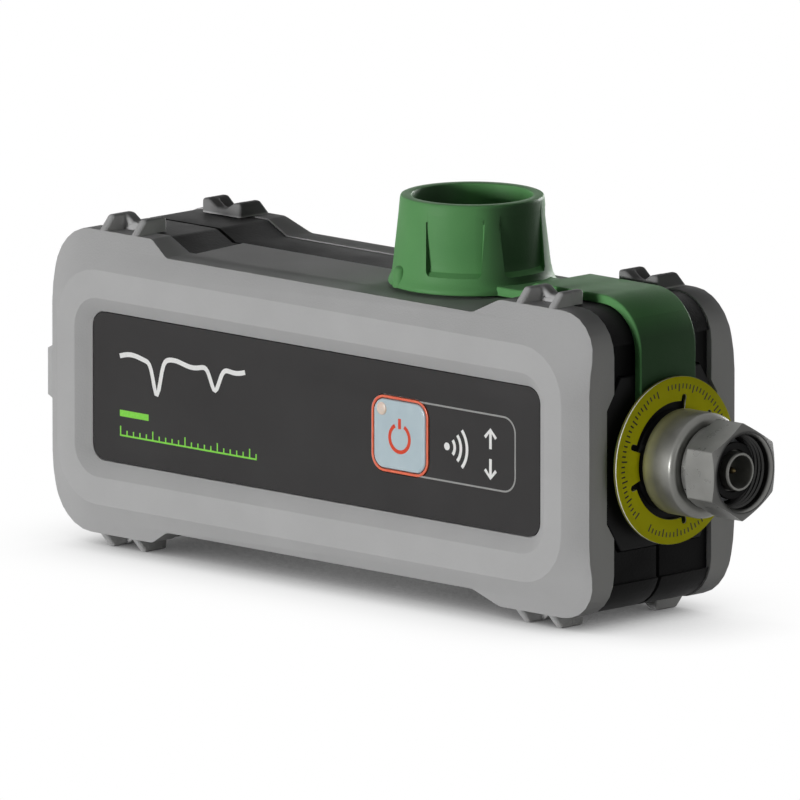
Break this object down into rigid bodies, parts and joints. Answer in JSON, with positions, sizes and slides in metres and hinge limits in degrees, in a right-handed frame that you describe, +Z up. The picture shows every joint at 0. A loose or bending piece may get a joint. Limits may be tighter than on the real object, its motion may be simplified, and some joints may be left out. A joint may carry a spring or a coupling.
{
  "type": "antenna analyzer",
  "caption": "Hand-held two-tone analyzer case with a side coaxial connector and coupling nut, a round yellow ring, a push button, and a green strap with a cup-shaped dust cap.",
  "frame": {"origin": "under the middle of the whole object, on the surface its feet stand on", "axes": "+X along the case towards the connector, +Y from the front panel to the back, +Z up"},
  "size_m": [0.1938, 0.0528, 0.089],
  "materials": {
    "light_cover": "fine moulded grain",
    "dark_housing": "fine moulded grain",
    "black_plastic": "satin moulded",
    "panel_film": "smooth printed film",
    "button_plastic": "satin",
    "orange_rim": "translucent",
    "lens": "clear tinted",
    "strap_rubber": "soft matte",
    "torque_plastic": "printed ring with a white edge",
    "nickel": "satin nickel plate",
    "gold_pin": "plated",
    "insulator": "waxy",
    "seal_rubber": "matte",
    "circuit_board": "solder mask",
    "tinned": "tinned",
    "cell_wrap": "shrink sleeve",
    "screw_steel": "blackened"
  },
  "bodies": {
    "case": {"front_shell": "light_cover", "rear_shell": "light_cover", "front_housing": "dark_housing", "rear_housing": "dark_housing", "gasket_upper": "seal_rubber", "gasket_lower": "seal_rubber", "label_panel": "panel_film", "rear_plate": "panel_film", "button_ring": "orange_rim", "connector_plate": "black_plastic", "connector_neck": "black_plastic", "torque_ring": "torque_plastic", "connector_collar": "nickel", "connector_body": "nickel", "nut_retainer": "screw_steel", "connector_gasket": "seal_rubber", "dielectric": "insulator", "centre_pin": "gold_pin", "strap_anchor": "strap_rubber", "hinge_pin": "screw_steel", "port_socket": "tinned", "port_frame": "black_plastic", "main_board": "circuit_board", "rf_shield": "tinned", "wireless_module": "tinned", "power_switch": "black_plastic", "battery_cell_1": "cell_wrap", "battery_cell_2": "cell_wrap", "battery_tray": "black_plastic", "rf_cable": "tinned", "flange_screw_1": "screw_steel", "board_screw_1": "screw_steel", "flange_screw_2": "screw_steel", "board_screw_2": "screw_steel", "flange_screw_3": "screw_steel", "board_screw_3": "screw_steel", "flange_screw_4": "screw_steel", "board_screw_4": "screw_steel", "case_screw_1": "screw_steel", "case_screw_2": "screw_steel", "case_screw_3": "screw_steel", "case_screw_4": "screw_steel", "case_screw_5": "screw_steel", "case_screw_6": "screw_steel"},
    "nut": {"coupling_nut": "nickel"},
    "button": {"power_button": "button_plastic", "led_lens": "lens"},
    "riser": {"strap_riser": "strap_rubber"},
    "run": {"strap_run": "strap_rubber"},
    "cap": {"dust_cap": "strap_rubber"},
    "door": {"port_door": "seal_rubber"}
  },
  "joints": [
    {"name": "nut_spin", "type": "hinge", "parent": "case", "child": "nut", "pos_m": [0.09215, 0, 0.0374], "axis": [1, 0, 0], "continuous": true},
    {"name": "power_press", "type": "slide", "parent": "case", "child": "button", "axis": [0, 1, 0], "range_m": [0, 0.0004], "stiffness_N_per_m": 1000},
    {"name": "strap_swing", "type": "hinge", "parent": "case", "child": "riser", "pos_m": [0.07355, 0, 0.0568], "axis": [0, 1, 0], "range_deg": [0, 90]},
    {"name": "strap_bend", "type": "hinge", "parent": "riser", "child": "run", "pos_m": [0.0613, 0, 0.0736], "axis": [0, 1, 0], "range_deg": [0, 90]},
    {"name": "cap_tilt", "type": "hinge", "parent": "run", "child": "cap", "pos_m": [0.0318, 0, 0.0713], "axis": [0, 1, 0], "range_deg": [0, 75]},
    {"name": "door_open", "type": "hinge", "parent": "case", "child": "door", "pos_m": [-0.09495, 0, 0.0302], "axis": [0, -1, 0], "range_deg": [0, 110]}
  ]
}
